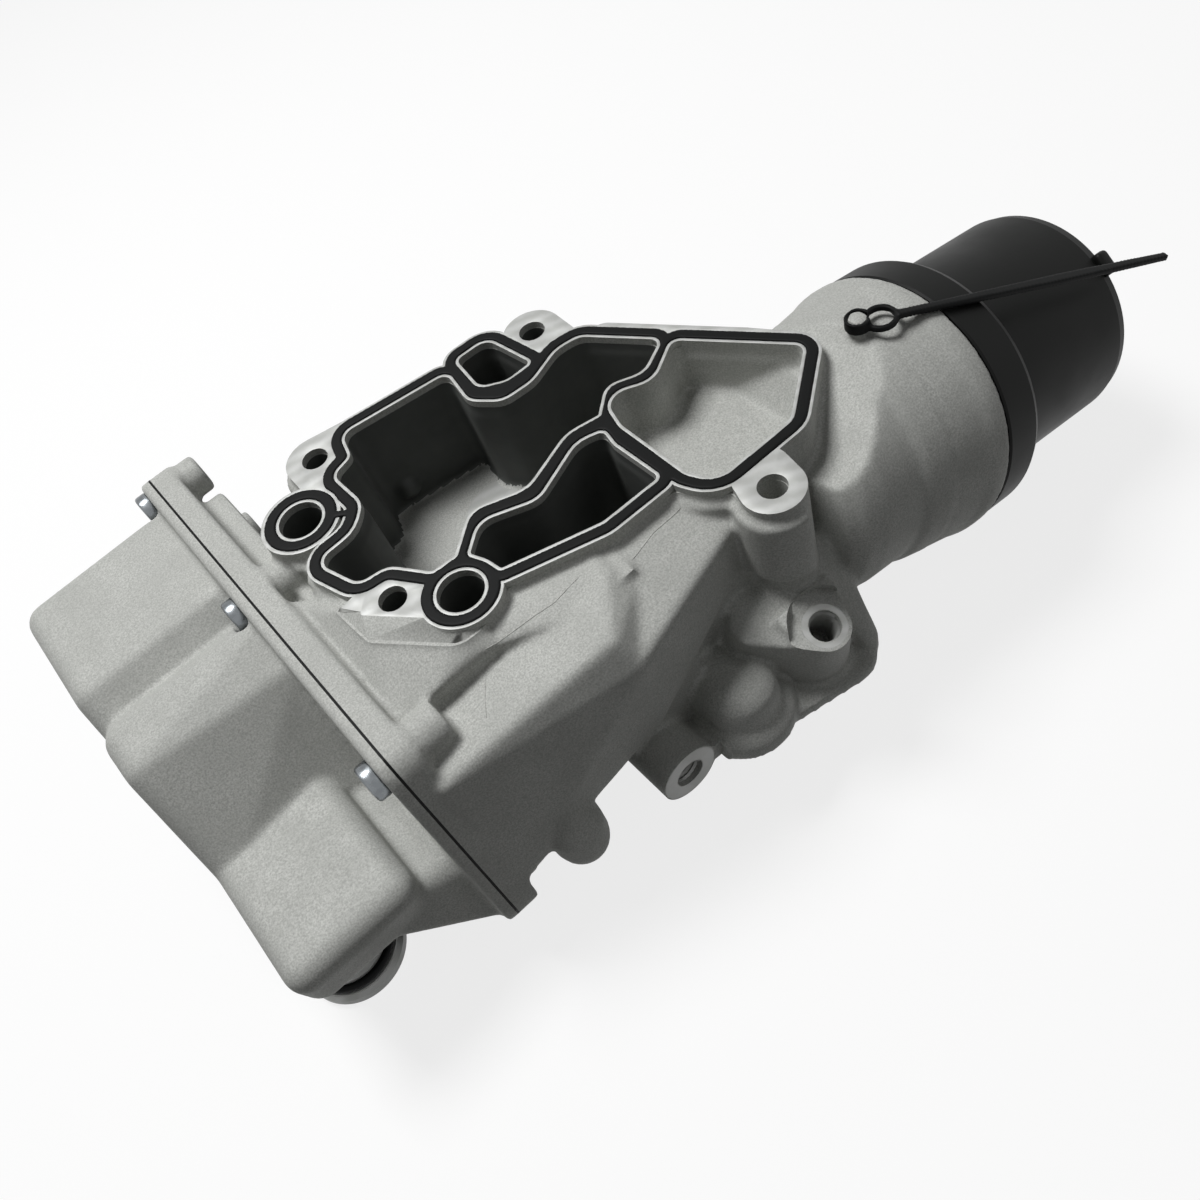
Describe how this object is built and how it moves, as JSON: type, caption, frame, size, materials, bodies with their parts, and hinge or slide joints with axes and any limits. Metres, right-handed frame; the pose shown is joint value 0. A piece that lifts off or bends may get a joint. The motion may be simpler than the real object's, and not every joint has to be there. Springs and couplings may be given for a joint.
{
  "type": "oil cooler filter housing",
  "caption": "Light-alloy housing with a bolt-on flange, a screwed cover over a plate oil cooler and a tilted bowl with a screw cap over a filter element.",
  "frame": {"origin": "centre of the oil port beside the cooler seam, in the plane of the machined flange face", "axes": "+Z out of the flange face, +X towards the filter cap, +Y along the cooler seam to its back end"},
  "size_m": [0.3579, 0.2102, 0.111],
  "materials": {
    "cast_aluminium": "fine die-cast grain",
    "machined_aluminium": "turned",
    "brazed_aluminium": "brazed",
    "rubber": "satin black",
    "black_plastic": "satin",
    "zinc_steel": "bright zinc plated",
    "filter_paper": "pleated paper"
  },
  "bodies": {
    "housing": {"main_housing": "cast_aluminium", "flange_gasket": "rubber", "cooler_cover": "cast_aluminium", "cover_gasket": "rubber", "cover_screw_1": "zinc_steel", "cover_screw_2": "zinc_steel", "cover_screw_3": "zinc_steel", "cover_screw_4": "zinc_steel", "cover_screw_5": "zinc_steel", "cover_screw_6": "zinc_steel", "cover_screw_7": "zinc_steel", "cover_screw_8": "zinc_steel", "oil_cooler": "brazed_aluminium", "cooler_seal_1": "rubber", "cooler_seal_2": "rubber", "cooler_screw_1": "zinc_steel", "cooler_screw_2": "zinc_steel", "cooler_screw_3": "zinc_steel", "cooler_screw_4": "zinc_steel", "coolant_stub": "machined_aluminium", "stub_o_ring": "rubber", "retaining_strap": "rubber", "centre_pipe": "black_plastic", "bypass_spring": "zinc_steel", "bypass_retainer": "black_plastic"},
    "element": {"filter_pleats": "filter_paper", "element_inner_cap": "black_plastic", "element_outer_cap": "black_plastic"},
    "cap": {"filter_cap": "black_plastic", "cap_o_ring": "rubber"},
    "poppet": {"bypass_poppet": "zinc_steel"}
  },
  "joints": [
    {"name": "cap_travel", "type": "slide", "parent": "housing", "child": "element", "axis": [0.9814, 0, -0.192], "range_m": [0, 0.012]},
    {"name": "cap_turn", "type": "hinge", "parent": "element", "child": "cap", "pos_m": [0.1568, -0.0191, -0.0485], "axis": [0.9814, 0, -0.192], "range_deg": [0, 1080]},
    {"name": "bypass_open", "type": "slide", "parent": "housing", "child": "poppet", "axis": [0.9814, 0, -0.192], "range_m": [0, 0.004], "stiffness_N_per_m": 100, "springref_m": -0.02, "deforming": ["bypass_spring"]}
  ],
  "couplings": [
    {"joint": "cap_turn", "follows": "cap_travel", "rad_per_m": 1570.8}
  ]
}
